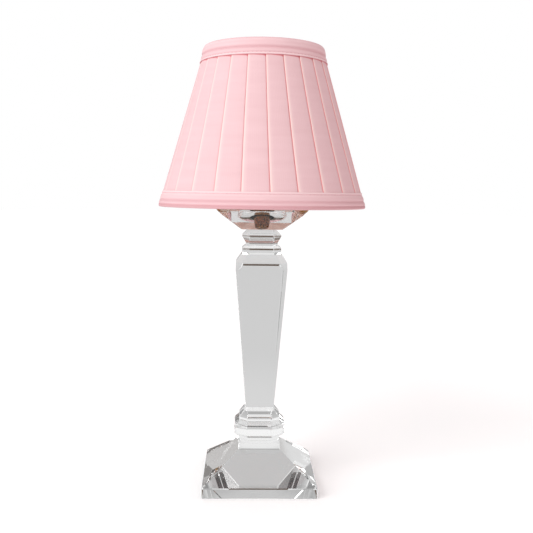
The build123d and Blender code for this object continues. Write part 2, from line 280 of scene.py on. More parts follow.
def makeWorld():
    world = bpy.data.worlds.new("studio")
    bpy.context.scene.world = world
    world.use_nodes = True
    tree = world.node_tree
    tree.nodes.clear()
    look = addNode(tree, "ShaderNodeTexCoord").outputs["Generated"]
    axes = addNode(tree, "ShaderNodeSeparateXYZ", inputs={0: look}).outputs
    side = addNode(tree, "ShaderNodeMath", {"operation": "ABSOLUTE"}, {0: axes["X"]})
    wall = addNode(tree, "ShaderNodeMapRange", inputs={
        "Value": side, "From Min": studio["wallTurn"][0], "From Max": studio["wallTurn"][1],
        "To Min": studio["wall"][0], "To Max": studio["wall"][1]})
    rise = addNode(tree, "ShaderNodeMapRange", inputs={
        "Value": axes["Z"], "From Min": 0.0, "From Max": studio["ceilingRise"],
        "To Min": 1.0, "To Max": studio["ceiling"]})
    front = addNode(tree, "ShaderNodeMapRange", {"interpolation_type": "SMOOTHSTEP"}, {
        "Value": axes["Y"], "From Min": studio["frontTurn"][0], "From Max": studio["frontTurn"][1],
        "To Min": 1.0, "To Max": studio["front"]})
    shade = addNode(tree, "ShaderNodeMath", {"operation": "MULTIPLY"}, {0: rise, 1: front})
    seen = addNode(tree, "ShaderNodeMath", {"operation": "MULTIPLY"}, {0: shade, 1: wall})
    onCloth = addNode(tree, "ShaderNodeLightPath").outputs["Is Diffuse Ray"]
    tone = addNode(tree, "ShaderNodeMix", {"data_type": "FLOAT"}, {
        "Factor": onCloth, "A": seen, "B": studio["sky"]})
    right = addNode(tree, "ShaderNodeMapRange", inputs={
        "Value": axes["X"], "From Min": 0.0, "From Max": studio["warmReach"]})
    warm = addNode(tree, "ShaderNodeMath", {"operation": "MULTIPLY"}, {0: right, 1: onCloth})
    far = addNode(tree, "ShaderNodeMapRange", inputs={
        "Value": axes["Y"], "From Min": studio["roomTurn"][0], "From Max": studio["roomTurn"][1]})
    low = setRamp(addNode(tree, "ShaderNodeValToRGB", inputs={0: axes["Z"]}), studio["roomRise"])
    beyond = addNode(tree, "ShaderNodeMath", {"operation": "MULTIPLY"}, {0: far, 1: low})
    colour = addNode(tree, "ShaderNodeMix", {"data_type": "RGBA"}, {
        "Factor": beyond, "A": (1, 1, 1, 1), "B": linear(studio["room"])})
    colour = addNode(tree, "ShaderNodeMix", {"data_type": "RGBA"}, {
        "Factor": warm, "A": colour.outputs["Result"], "B": studio["warmSide"]})
    sky = addNode(tree, "ShaderNodeBackground", inputs={
        "Color": colour.outputs["Result"], "Strength": tone.outputs["Result"]})
    addNode(tree, "ShaderNodeOutputWorld", inputs={"Surface": sky})


def makeLights():
    data = bpy.data.lights.new("window", "SUN")
    data.energy = studio["sunStrength"]
    data.angle = math.radians(studio["sunSpread"])
    window = bpy.data.objects.new("window", data)
    bpy.context.scene.collection.objects.link(window)
    window.rotation_mode = "QUATERNION"
    window.rotation_quaternion = (-Vector(studio["sunFrom"])).to_track_quat("-Z", "Y")


setCamera()
makeStage()
makeWorld()
makeLights()
view = bpy.context.scene.view_settings
view.view_transform = "Standard"
bpy.context.scene.cycles.max_bounces = 32
bpy.context.scene.cycles.transmission_bounces = 32
bpy.context.scene.cycles.glossy_bounces = 16
bpy.context.scene.cycles.transparent_max_bounces = 64
print("stage: camera, floor, backdrop, world and window light")


# finishes
def makeCrystal():
    # lead crystal, cut and polished: clear, a trace of grey, faint polishing smears
    made, tree = newMaterial("crystal_cut_polished")
    place = addNode(tree, "ShaderNodeTexCoord")
    smear = addNode(tree, "ShaderNodeTexNoise", inputs={
        "Vector": place.outputs["Object"], "Scale": 1 / (12 * mm), "Detail": 3.0})
    polish = addNode(tree, "ShaderNodeMapRange", inputs={
        "Value": smear.outputs["Fac"], "From Min": 0.5, "From Max": 0.8, "To Min": 0.0, "To Max": 0.012})
    closeMaterial(tree, addNode(tree, "ShaderNodeBsdfPrincipled", inputs={
        "Base Color": linear("FDFDFD"), "Roughness": polish, "IOR": 1.57, "Transmission Weight": 1.0}))
    return made


def makeCement():
    # clear optical cement of the crystal's own index: the faces that it joins can't be seen
    made, tree = newMaterial("clear_optical_cement")
    closeMaterial(tree, addNode(tree, "ShaderNodeBsdfPrincipled", inputs={
        "Base Color": (1, 1, 1, 1), "IOR": 1.0, "Alpha": 0.0}))
    return made


def makeMetal(name, hexColour, hexDull, roughness, brush):
    # turned metal: fine lathe lines round the axis and a little dulling in patches
    made, tree = newMaterial(name)
    place = addNode(tree, "ShaderNodeTexCoord").outputs["Object"]
    patch = addNode(tree, "ShaderNodeTexNoise", inputs={"Vector": place, "Scale": 1 / (7 * mm), "Detail": 5.0})
    dull = addNode(tree, "ShaderNodeMapRange", inputs={
        "Value": patch.outputs["Fac"], "From Min": 0.45, "From Max": 0.7, "To Max": 0.55})
    colour = addNode(tree, "ShaderNodeMix", {"data_type": "RGBA"}, {
        "Factor": dull, "A": linear(hexColour), "B": linear(hexDull)})
    gloss = addNode(tree, "ShaderNodeMapRange", inputs={
        "Value": patch.outputs["Fac"], "To Min": roughness * 0.7, "To Max": roughness * 1.6})
    squeeze = addNode(tree, "ShaderNodeMapping", inputs={"Vector": place, "Scale": (1.0, 1.0, 60.0)})
    lines = addNode(tree, "ShaderNodeTexNoise", inputs={"Vector": squeeze, "Scale": 1 / (22 * mm), "Detail": 2.0})
    bump = addNode(tree, "ShaderNodeBump", inputs={
        "Height": lines.outputs["Fac"], "Strength": brush, "Distance": 0.02 * mm})
    closeMaterial(tree, addNode(tree, "ShaderNodeBsdfPrincipled", inputs={
        "Base Color": colour.outputs["Result"], "Metallic": 1.0, "Roughness": gloss, "Normal": bump}))
    return made


def makeEnamel():
    # stove enamel on steel wire: white, glossy, with a faint orange peel
    made, tree = newMaterial("wire_white_enamel")
    place = addNode(tree, "ShaderNodeTexCoord").outputs["Object"]
    peel = addNode(tree, "ShaderNodeTexNoise", inputs={"Vector": place, "Scale": 1 / (0.8 * mm), "Detail": 2.0})
    patch = addNode(tree, "ShaderNodeTexNoise", inputs={"Vector": place, "Scale": 1 / (15 * mm), "Detail": 3.0})
    colour = addNode(tree, "ShaderNodeMix", {"data_type": "RGBA"}, {
        "Factor": patch.outputs["Fac"], "A": linear("F4F1EA"), "B": linear("E7E2D6")})
    bump = addNode(tree, "ShaderNodeBump", inputs={
        "Height": peel.outputs["Fac"], "Strength": 0.15, "Distance": 0.03 * mm})
    closeMaterial(tree, addNode(tree, "ShaderNodeBsdfPrincipled", inputs={
        "Base Color": colour.outputs["Result"], "Roughness": 0.28, "Normal": bump}))
    return made


def makeGrained(name, kind, settings, grain, colours, raised, surface):
    # one pattern both tints the surface and raises it
    made, tree = newMaterial(name)
    place = addNode(tree, "ShaderNodeTexCoord").outputs["Object"]
    pattern = addNode(tree, kind, settings, {"Vector": place, **grain}).outputs["Fac"]
    colour = addNode(tree, "ShaderNodeMix", {"data_type": "RGBA"}, {
        "Factor": pattern, "A": linear(colours[0]), "B": linear(colours[1])})
    bump = addNode(tree, "ShaderNodeBump", inputs={"Height": pattern, "Strength": raised[0], "Distance": raised[1]})
    closeMaterial(tree, addNode(tree, "ShaderNodeBsdfPrincipled", inputs={
        "Base Color": colour.outputs["Result"], "Normal": bump, **surface}))
    return made


silkWeave = {
    "thread": 0.55 * mm,
    "waveTurns": 3.2,         # a wave texture of scale 1 repeats this often in a metre
    "weaveDepth": 0.12,       # how much of the way from deep to light the threads reach
    "slub": 9 * mm,
    "slubStretch": (0.25, 2.2, 1.0),
    "light": "EAC8CB",
    "deep": "DDB4B8",
    "slubDepth": 0.35,        # how much of the way from deep to light the slubs reach
    "foldHighlight": "F2D6D3",     # painted highlight along each fold's edge, where it faces the light
    "tuck": "F88A8A",         # painted shade and pink bounce light inside a tuck, where pink light falls on pink
    # along one pleat, from 0 to 1: painted highlight on the fold's edge, then clear cloth, then the painted shade of
    # the tuck
    "foldHighlightMarks": [(0.0, 0.0), (0.03, 0.0), (0.05, 1.0), (0.08, 1.0), (0.12, 0.3), (0.17, 0.0), (1.0, 0.0)],
    "tuckMarks": [(0.0, 0.9), (0.025, 0.7), (0.045, 0.0), (0.46, 0.0), (0.54, 0.3), (0.575, 0.7), (0.60, 1.0),
                  (1.0, 0.9)],
    # how far down the shadow under the top band reaches along one pleat, as a share of its depth
    "holeMarks": [(0.0, 0.5), (0.03, 0.25), (0.2, 0.25), (0.4, 0.5), (0.54, 0.9), (0.6, 1.0), (1.0, 1.0)],
    "hole": (0.92, 0.45, 0.48, 1.0),      # what that shadow leaves of the colour
    "holeDeep": 1.7 * mm,
    "holeEdge": (-0.4 * mm, 0.2 * mm),    # where it fades, about the band's foot
    "paintedShading": (0.78, 0.62, 0.64, 1.0),   # painted shade: what it leaves of the colour at the bottom of a pressed crease
    "paintedHighlight": "F7DEDF",                   # painted highlight on the top of a band's fold
    # how far the painted highlight goes towards that colour
    "highlightShare": 0.8,
}
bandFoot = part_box("top_band")[0].z


def makeSilk(name, light, deep, pleated=False, banded=False):
    # woven silk taffeta: crossing threads, slubs along the weft and a soft sheen.
    # Threads are drawn about twice as coarse as the real 0.25 mm, so that they show.
    made, tree = newMaterial(name)
    flat = addNode(tree, "ShaderNodeUVMap", {"uv_map": "UVMap"}).outputs["UV"]      # metres on the flat cloth
    warp, weft = (addNode(tree, "ShaderNodeTexWave", {"bands_direction": way}, {
        "Vector": flat, "Scale": 1 / (silkWeave["thread"] * silkWeave["waveTurns"]),
        "Distortion": 0.6, "Detail": 1.0}).outputs["Fac"] for way in "XY")
    weave = addNode(tree, "ShaderNodeMath", {"operation": "ADD"}, {0: warp, 1: weft})
    stretch = addNode(tree, "ShaderNodeMapping", inputs={"Vector": flat, "Scale": silkWeave["slubStretch"]})
    slub = addNode(tree, "ShaderNodeTexNoise", inputs={
        "Vector": stretch, "Scale": 1 / silkWeave["slub"], "Detail": 6.0})
    streak = addNode(tree, "ShaderNodeMapRange", {"clamp": False}, {
        "Value": slub.outputs["Fac"], "To Min": 0.5 - silkWeave["slubDepth"], "To Max": 0.5 + silkWeave["slubDepth"]})
    tone = addNode(tree, "ShaderNodeMath", {"operation": "MULTIPLY_ADD"}, {
        0: weave, 1: silkWeave["weaveDepth"], 2: streak})
    colour = addNode(tree, "ShaderNodeMix", {"data_type": "RGBA"}, {
        "Factor": tone, "A": linear(deep), "B": linear(light)}).outputs["Result"]
    if pleated:
        # painted shade in the tucks and a painted highlight on the fold edges, by the place along each pleat
        along = addNode(tree, "ShaderNodeAttribute", {"attribute_name": "pleat"}).outputs["Fac"]
        for marks, tint in ((silkWeave["tuckMarks"], "tuck"), (silkWeave["foldHighlightMarks"], "foldHighlight")):
            share = setRamp(addNode(tree, "ShaderNodeValToRGB", inputs={0: along}), marks)
            colour = addNode(tree, "ShaderNodeMix", {"data_type": "RGBA"}, {
                "Factor": share, "A": colour, "B": linear(silkWeave[tint])}).outputs["Result"]
        # painted shadow under the top band, reaching further down in each tuck
        height = addNode(tree, "ShaderNodeSeparateXYZ", inputs={0: flat}).outputs["Y"]
        share = setRamp(addNode(tree, "ShaderNodeValToRGB", inputs={0: along}), silkWeave["holeMarks"])
        shadow = addNode(tree, "ShaderNodeMath", {"operation": "MULTIPLY_ADD"}, {
            0: share, 1: silkWeave["holeDeep"], 2: height})
        dark = addNode(tree, "ShaderNodeMapRange", inputs={
            "Value": shadow, "From Min": bandFoot + silkWeave["holeEdge"][0],
            "From Max": bandFoot + silkWeave["holeEdge"][1]})
        colour = addNode(tree, "ShaderNodeMix", {"data_type": "RGBA", "blend_type": "MULTIPLY"}, {
            "Factor": dark, "A": colour, "B": silkWeave["hole"]}).outputs["Result"]
    if banded:
        # painted shade in the bands' creases and painted highlight on their rolled edges, from each band's signed
        # shading attribute
        bandShading = addNode(tree, "ShaderNodeAttribute", {"attribute_name": "bandShading"}).outputs["Fac"]
        sunk = addNode(tree, "ShaderNodeMath", {"operation": "MULTIPLY", "use_clamp": True}, {0: bandShading, 1: -1.0})
        highlightMask = addNode(tree, "ShaderNodeMath", {"operation": "MULTIPLY", "use_clamp": True}, {
            0: bandShading, 1: silkWeave["highlightShare"]})
        colour = addNode(tree, "ShaderNodeMix", {"data_type": "RGBA", "blend_type": "MULTIPLY"}, {
            "Factor": sunk, "A": colour, "B": silkWeave["paintedShading"]}).outputs["Result"]
        colour = addNode(tree, "ShaderNodeMix", {"data_type": "RGBA"}, {
            "Factor": highlightMask, "A": colour, "B": linear(silkWeave["paintedHighlight"])}).outputs["Result"]
    bump = addNode(tree, "ShaderNodeBump", inputs={"Height": weave, "Strength": 0.25, "Distance": 0.06 * mm})
    closeMaterial(tree, addNode(tree, "ShaderNodeBsdfPrincipled", inputs={
        "Base Color": colour, "Roughness": 0.6, "Specular IOR Level": 0.05 if banded else 0.2,
        "Sheen Weight": 0.0 if banded else 0.06, "Sheen Roughness": 0.4, "Sheen Tint": linear("FFDFE0"),
        "Normal": bump}))
    return made


crystal = makeCrystal()
cement = makeCement()
brass = makeMetal("brass_turned_lacquered", "C79A57", "9A6C36", 0.2, 0.35)
bronze = makeMetal("bronze_aged", "8A5C36", "4E321C", 0.22, 0.35)
springSteel = makeMetal("spring_steel_drawn", "C9CBCD", "8D9093", 0.25, 0.2)
enamel = makeEnamel()
# moulded candle wax: soft, cloudy, light sinks in
wax = makeGrained(
    "candle_wax_moulded", "ShaderNodeTexNoise", {}, {"Scale": 1 / (6 * mm), "Detail": 4.0},
    ("F7EFD9", "EFE3C4"), (0.2, 0.1 * mm), {
        "Roughness": 0.45, "Subsurface Weight": 0.4, "Subsurface Radius": (3 * mm, 2 * mm, 1.2 * mm),
        "Subsurface Scale": 1.0})
# braided cotton: off-white, matt, with slanting plies
wickCotton = makeGrained(
    "wick_braided_cotton", "ShaderNodeTexWave", {"bands_direction": "DIAGONAL"},
    {"Scale": 1 / (2.2 * mm), "Distortion": 1.5}, ("D9D2C2", "F3EEE2"), (0.6, 0.15 * mm), {"Roughness": 0.9})
# matt laminate card: warm white, faint fibre
liningCard = makeGrained(
    "lining_laminate_card", "ShaderNodeTexNoise", {}, {"Scale": 1 / (1.6 * mm), "Detail": 4.0},
    ("F9DDD2", "F4D2C6"), (0.2, 0.05 * mm), {"Roughness": 0.6})
silk = makeSilk("silk_pink_taffeta_pleated", silkWeave["light"], silkWeave["deep"], pleated=True)
bandSilk = makeSilk("silk_pink_taffeta_doubled", "EAC6C9", "DEB4B9", banded=True)
thread = makeSilk("thread_pink_polyester", "F0CDD0", "E9BFC4")
print("finishes: crystal, brass, steel, enamel, wax, cotton, lining and silk")

for nodeName, finish in {
        "socket_cup": bronze, "tube_peg": bronze, "candle_tube": brass, "bayonet_pins": brass, "follower": brass,
        "tube_cap": brass, "carrier_collar": brass, "carrier_arms": brass, "carrier_ring": brass,
        "candle": wax, "wick": wickCotton, "gallery_ring": enamel, "gallery_spokes": enamel,
        "frame_ribs": enamel, "top_ring": enamel, "bottom_ring": enamel, "candle_spring": springSteel,
        }.items():
    cadNodes[nodeName].material_slots[0].material = finish


# cut crystal: each piece keeps its own closed mesh, with fine bevels where edges are free
crystalCut = {
    # width of the bevels on each piece, mm
    "bevel": {"base_block": 0.45, "lower_neck": 0.25, "lower_knop": 0.25, "column": 0.45, "upper_neck": 0.15,
              "drip_pan": 0.45},
    "flatAngle": 0.6,              # degrees, faces that count as one
    "edgeAngle": 16.0,             # degrees, edges that are cut
    "shortestEdge": 1.5 * mm,
    "socketRadius": 5.6 * mm,      # the metal cup is bedded in the same cement
    "socketBelow": 1.0 * mm,
    "socketLip": 0.8 * mm,
    "joints": [      # the larger face first, then the piece that is cemented on it
        ("base_block", "lower_neck"),
        ("lower_knop", "lower_neck"),
        ("lower_knop", "column"),
        ("column", "upper_neck"),
        ("drip_pan", "upper_neck"),
    ],
}
same = 2e-6          # metres, points that count as one
onPlane = 1e-7       # metres, for cuts


def plainCopy(nodeName):
    source = cadNodes[nodeName].data
    made = bmesh.new()
    points = [made.verts.new(v.co) for v in source.vertices]
    for face in source.polygons:
        made.faces.new([points[i] for i in face.vertices])
    bmesh.ops.remove_doubles(made, verts=made.verts, dist=same)
    bmesh.ops.dissolve_limit(made, angle_limit=math.radians(crystalCut["flatAngle"]),
                             verts=made.verts, edges=made.edges)
    made.normal_update()
    return made


def levelFaces(made, height):
    return [f for f in made.faces if all(abs(v.co.z - height) < same for v in f.verts)]


def meetingHeight(first, second):
    (lowA, highA), (lowB, highB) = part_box(first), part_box(second)
    return highA.z if abs(highA.z - lowB.z) < abs(highB.z - lowA.z) else lowA.z


def splitFace(made, height, corners):
    # draws the footprint of the cemented piece on the larger face
    for a, b in zip(corners, corners[1:] + corners[:1]):
        along = b - a
        faces = levelFaces(made, height)
        edges = {e for f in faces for e in f.edges}
        points = {v for f in faces for v in f.verts}
        bmesh.ops.bisect_plane(made, geom=[*faces, *edges, *points], dist=onPlane, plane_co=a,
                               plane_no=Vector((along.y, -along.x, 0)).normalized())
    made.normal_update()


def insideFootprint(point, corners):
    turns = [(b - a).cross(point - a).z for a, b in zip(corners, corners[1:] + corners[:1])]
    return all(t > 0 for t in turns) or all(t < 0 for t in turns)


def cutCrystal(shapes, nodeName, body):
    made = shapes[nodeName]
    heights = []
    for larger, smaller in crystalCut["joints"]:
        if nodeName in (larger, smaller):
            height = meetingHeight(larger, smaller)
            heights.append(height)
            corners = [v.co.copy() for v in levelFaces(shapes[smaller], height)[0].verts]
            if nodeName == larger:
                splitFace(made, height, corners)
            for face in levelFaces(made, height):
                if insideFootprint(face.calc_center_median(), corners):
                    face.material_index = 1
    for face in made.faces:
        middle = face.calc_center_median()
        if middle.xy.length < crystalCut["socketRadius"] and socketFoot < middle.z < socketMouth - same:
            face.material_index = 1
    limit = math.radians(crystalCut["edgeAngle"])
    free = [e for e in made.edges if len(e.link_faces) == 2 and e.calc_face_angle() > limit
            and e.calc_length() > crystalCut["shortestEdge"]
            and not any(all(abs(v.co.z - h) < same for v in e.verts) for h in heights)]
    bmesh.ops.bevel(made, geom=free, offset=crystalCut["bevel"][nodeName] * mm, offset_type="OFFSET", segments=1,
                    profile=0.5, affect="EDGES", clamp_overlap=True, material=-1)
    for face in made.faces:
        face.smooth = True
    for edge in made.edges:
        edge.smooth = len(edge.link_faces) == 2 and edge.calc_face_angle() < limit
    mesh = bpy.data.meshes.new("cut_" + nodeName)
    made.to_mesh(mesh)
    piece = newObject("cut_" + nodeName, mesh, crystal, cement)
    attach(piece, body)
    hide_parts(nodeName)


# seams: three thin films of cement that sets with a slightly lower index, which mirror the room when seen edge on
seams = {
    "index": 1.562 / 1.57,
    "inset": 0.25 * mm,
    "film": [     # (piece, height, thickness), mm
        ("upper_neck", 156.68, 0.04),
        ("upper_neck", 148.4, 0.06),
        ("column", 138.85, 0.06),
    ],
}


def makeFilm():
    # clear cement of a slightly lower index than the crystal round it: a mirror at a grazing angle
    made, tree = newMaterial("cement_film")
    closeMaterial(tree, addNode(tree, "ShaderNodeBsdfGlass", inputs={
        "Color": (1, 1, 1, 1), "Roughness": 0.0, "IOR": seams["index"]}))
    return made


def outlineAt(shape, height):
    cut = shape.copy()
    found = bmesh.ops.bisect_plane(cut, geom=[*cut.verts, *cut.edges, *cut.faces], dist=onPlane,
                                   plane_co=(0, 0, height), plane_no=(0, 0, 1))
    spots = [e.co.copy() for e in found["geom_cut"] if isinstance(e, bmesh.types.BMVert)]
    return sorted(spots, key=lambda spot: math.atan2(spot.y, spot.x))


def makeSeam(shapes, nodeName, height, film, cementFilm):
    made = bmesh.new()
    rings = []
    for level in (height - film / 2, height + film / 2):
        spots = outlineAt(shapes[nodeName], level * mm)
        rings.append([made.verts.new(spot - spot.xy.normalized().to_3d() * seams["inset"]) for spot in spots])
    for ring in rings:
        made.faces.new(ring)
    for a, b, c, d in zip(rings[0], rings[0][1:] + rings[0][:1], rings[1][1:] + rings[1][:1], rings[1]):
        made.faces.new((a, b, c, d))
    bmesh.ops.recalc_face_normals(made, faces=made.faces)
    name = "seam_" + nodeName + "_" + str(round(height))
    mesh = bpy.data.meshes.new(name)
    made.to_mesh(mesh)
    piece = newObject(name, mesh, cementFilm)
    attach(piece, "candlestick")


cupLow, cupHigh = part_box("socket_cup")
socketFoot = cupLow.z - crystalCut["socketBelow"]
socketMouth = cupHigh.z - crystalCut["socketLip"]
crystalPieces = list(crystalCut["bevel"])
crystalShapes = {n: plainCopy(n) for n in crystalPieces}
footShapes = {n: s.copy() for n, s in crystalShapes.items()}
for pieceName in crystalPieces:
    cutCrystal({**footShapes, pieceName: crystalShapes[pieceName]}, pieceName, "candlestick")
cementFilm = makeFilm()
for nodeName, height, film in seams["film"]:
    makeSeam(footShapes, nodeName, height, film, cementFilm)


# the shade's cone, between the bands' outer edges
coverLow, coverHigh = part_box("shade_cover")
topBandLow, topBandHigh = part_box("top_band")
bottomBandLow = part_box("bottom_band")[0]
shadeTop, shadeBottom = topBandHigh.z, bottomBandLow.z
shadeCone = {"topRadius": 36.0 * mm, "bottomRadius": 64.0 * mm}
coneSlope = (shadeCone["bottomRadius"] - shadeCone["topRadius"]) / (shadeTop - shadeBottom)


def coneRadius(height):
    return shadeCone["topRadius"] + (shadeTop - height) * coneSlope


# pleated cover: a straight strip of silk laid in knife pleats, so the tucks deepen towards the top
pleats = {
    "count": 24,
    "steps": 56,
    "rows": 16,
    "phase": 3.2,                  # degrees round, at the foot
    "lean": -3.1,                  # degrees gained from foot to top
    "depth": 1.35 * mm,
    "stripPerPleat": 22.4 * mm,    # flat cloth taken by one pleat
    "jitter": 0.22,                # degrees
    "puff": 0.10 * mm,             # how far the cloth stands off its even cone
    "puffScale": 3.5,
    "puffRise": 9.0,
    "seed": 5,
    "cloth": 0.18 * mm,
    # along one pleat: share of the pitch covered, share of the tuck, share of the depth
    "run": [(0.0, 0.0), (0.045, 0.014), (0.10, 0.078), (0.60, 1.0), (1.0, 1.0)],
    "tuck": [(0.0, 0.0), (0.60, 0.0), (0.72, 0.95), (0.75, 1.0), (0.78, 0.95), (0.93, 0.12), (0.97, 0.03), (1.0, 0.0)],
    "drop": [(0.0, 0.24), (0.02, 0.13), (0.05, 0.04), (0.09, 0.0), (0.15, 0.0), (0.36, 0.08), (0.54, 0.33),
             (0.60, 0.84), (0.72, 0.98), (0.75, 0.94), (0.78, 0.88), (0.93, 0.72), (0.97, 0.58), (1.0, 0.24)],
}
nudge = 1e-4         # keeps the points where two pleats meet on the right side


def makePleatTree():
    tree, given = newTree("knifePleats", {
        "Pleats": "Int", "Steps": "Int", "Rows": "Int", "Foot Height": "Float", "Top Height": "Float",
        "Foot Radius": "Float", "Top Radius": "Float", "Phase": "Float", "Lean": "Float", "Depth": "Float",
        "Strip": "Float", "Jitter": "Float", "Puff": "Float", "Seed": "Int", "Material": "Material"})
    columns = addNode(tree, "ShaderNodeMath", {"operation": "MULTIPLY_ADD"}, {
        0: given["Pleats"], 1: given["Steps"], 2: 1.0})
    grid = addNode(tree, "GeometryNodeMeshGrid", inputs={
        "Size X": 1.0, "Size Y": 1.0, "Vertices X": columns, "Vertices Y": given["Rows"]})
    fromCorner = addNode(tree, "ShaderNodeVectorMath", {"operation": "ADD"}, {
        0: addNode(tree, "GeometryNodeInputPosition"), 1: (0.5, 0.5, 0.0)})
    place = addNode(tree, "ShaderNodeSeparateXYZ", inputs={0: fromCorner}).outputs
    around, rise = place["X"], place["Y"]

    # which pleat a point is in, and how far along it
    step = addNode(tree, "ShaderNodeMath", {"operation": "MULTIPLY_ADD"}, {0: around, 1: given["Pleats"], 2: nudge})
    index = addNode(tree, "ShaderNodeMath", {"operation": "FLOOR"}, {0: step})
    past = addNode(tree, "ShaderNodeMath", {"operation": "FRACT"}, {0: step})
    phase = addNode(tree, "ShaderNodeMath", {"operation": "SUBTRACT", "use_clamp": True}, {0: past, 1: nudge})
    run, tuck, drop = (setCurve(addNode(tree, "ShaderNodeFloatCurve", inputs={"Value": phase}), pleats[line])
                       for line in ("run", "tuck", "drop"))

    # how far this fold and the next one leave their even places
    wanders = []
    for offset in (0.0, 1.0):
        fold = addNode(tree, "ShaderNodeMath", {"operation": "ADD"}, {0: index, 1: offset})
        fold = addNode(tree, "ShaderNodeMath", {"operation": "MODULO"}, {0: fold, 1: given["Pleats"]})
        drawn = addNode(tree, "FunctionNodeRandomValue", {"data_type": "FLOAT"}, {
            2: -1.0, 3: 1.0, "ID": fold, "Seed": given["Seed"]})
        wanders.append(addNode(tree, "ShaderNodeMath", {"operation": "MULTIPLY"}, {
            0: drawn.outputs[1], 1: given["Jitter"]}))
    apart = addNode(tree, "ShaderNodeMath", {"operation": "SUBTRACT"}, {0: wanders[1], 1: wanders[0]})
    drift = addNode(tree, "ShaderNodeMath", {"operation": "MULTIPLY_ADD"}, {0: run, 1: apart, 2: wanders[0]})

    # the cone, and the cloth that is left over there: it goes in and comes back, half each way
    height = addNode(tree, "ShaderNodeMapRange", inputs={
        "Value": rise, "To Min": given["Foot Height"], "To Max": given["Top Height"]})
    radius = addNode(tree, "ShaderNodeMapRange", inputs={
        "Value": rise, "To Min": given["Foot Radius"], "To Max": given["Top Radius"]})
    pitch = addNode(tree, "ShaderNodeMath", {"operation": "DIVIDE"}, {0: math.tau, 1: given["Pleats"]})
    arc = addNode(tree, "ShaderNodeMath", {"operation": "MULTIPLY"}, {0: radius, 1: pitch})
    spread = addNode(tree, "ShaderNodeMath", {"operation": "DIVIDE"}, {0: given["Strip"], 1: arc})
    hidden = addNode(tree, "ShaderNodeMath", {"operation": "MULTIPLY_ADD"}, {0: spread, 1: 0.5, 2: -0.5})

    # the angle round
    share = addNode(tree, "ShaderNodeMath", {"operation": "MULTIPLY_ADD"}, {0: tuck, 1: hidden, 2: run})
    laps = addNode(tree, "ShaderNodeMath", {"operation": "ADD"}, {0: index, 1: share})
    start = addNode(tree, "ShaderNodeMath", {"operation": "MULTIPLY_ADD"}, {
        0: rise, 1: given["Lean"], 2: given["Phase"]})
    even = addNode(tree, "ShaderNodeMath", {"operation": "MULTIPLY_ADD"}, {0: laps, 1: pitch, 2: start})
    turn = addNode(tree, "ShaderNodeMath", {"operation": "ADD"}, {0: even, 1: drift})
    cosine = addNode(tree, "ShaderNodeMath", {"operation": "COSINE"}, {0: turn})
    sine = addNode(tree, "ShaderNodeMath", {"operation": "SINE"}, {0: turn})

    # and the distance out
    cloudRise = addNode(tree, "ShaderNodeMath", {"operation": "MULTIPLY"}, {0: height, 1: pleats["puffRise"]})
    cloudSpot = addNode(tree, "ShaderNodeCombineXYZ", inputs={0: cosine, 1: sine, 2: cloudRise})
    cloud = addNode(tree, "ShaderNodeTexNoise", inputs={
        "Vector": cloudSpot, "Scale": pleats["puffScale"], "Detail": 1.0})
    swell = addNode(tree, "ShaderNodeMath", {"operation": "SUBTRACT"}, {0: cloud.outputs["Fac"], 1: 0.5})
    puff = addNode(tree, "ShaderNodeMath", {"operation": "MULTIPLY"}, {0: swell, 1: given["Puff"]})
    sunk = addNode(tree, "ShaderNodeMath", {"operation": "MULTIPLY"}, {0: drop, 1: given["Depth"]})
    inner = addNode(tree, "ShaderNodeMath", {"operation": "SUBTRACT"}, {0: radius, 1: sunk})
    reach = addNode(tree, "ShaderNodeMath", {"operation": "ADD"}, {0: inner, 1: puff})
    across = addNode(tree, "ShaderNodeMath", {"operation": "MULTIPLY"}, {0: reach, 1: cosine})
    back = addNode(tree, "ShaderNodeMath", {"operation": "MULTIPLY"}, {0: reach, 1: sine})
    spot = addNode(tree, "ShaderNodeCombineXYZ", inputs={0: across, 1: back, 2: height})

    # its place on the flat strip
    along = addNode(tree, "ShaderNodeMath", {"operation": "MULTIPLY"}, {0: around, 1: given["Pleats"]})
    clothWide = addNode(tree, "ShaderNodeMath", {"operation": "MULTIPLY"}, {0: along, 1: given["Strip"]})
    flat = addNode(tree, "ShaderNodeCombineXYZ", inputs={0: clothWide, 1: height})
    marked = addNode(tree, "GeometryNodeStoreNamedAttribute", {"data_type": "FLOAT2", "domain": "CORNER"}, {
        "Geometry": grid.outputs["Mesh"], "Name": "UVMap", "Value": flat})
    phased = addNode(tree, "GeometryNodeStoreNamedAttribute", {"data_type": "FLOAT", "domain": "POINT"}, {
        "Geometry": marked, "Name": "pleat", "Value": phase})
    laid = addNode(tree, "GeometryNodeSetPosition", inputs={"Geometry": phased, "Position": spot})
    closed = addNode(tree, "GeometryNodeMergeByDistance", inputs={"Geometry": laid, "Distance": same})
    return closeTree(tree, closed, given["Material"])


cover = bakeTree("pleated_cover", makePleatTree(), {
    "Pleats": pleats["count"], "Steps": pleats["steps"], "Rows": pleats["rows"],
    "Foot Height": coverLow.z, "Top Height": coverHigh.z,
    "Foot Radius": coneRadius(coverLow.z), "Top Radius": coneRadius(coverHigh.z),
    "Phase": math.radians(pleats["phase"]), "Lean": math.radians(pleats["lean"]),
    "Depth": pleats["depth"], "Strip": pleats["stripPerPleat"],
    "Jitter": math.radians(pleats["jitter"]), "Puff": pleats["puff"], "Seed": pleats["seed"], "Material": silk})
print("pleated cover:", len(cover.data.polygons), "faces")


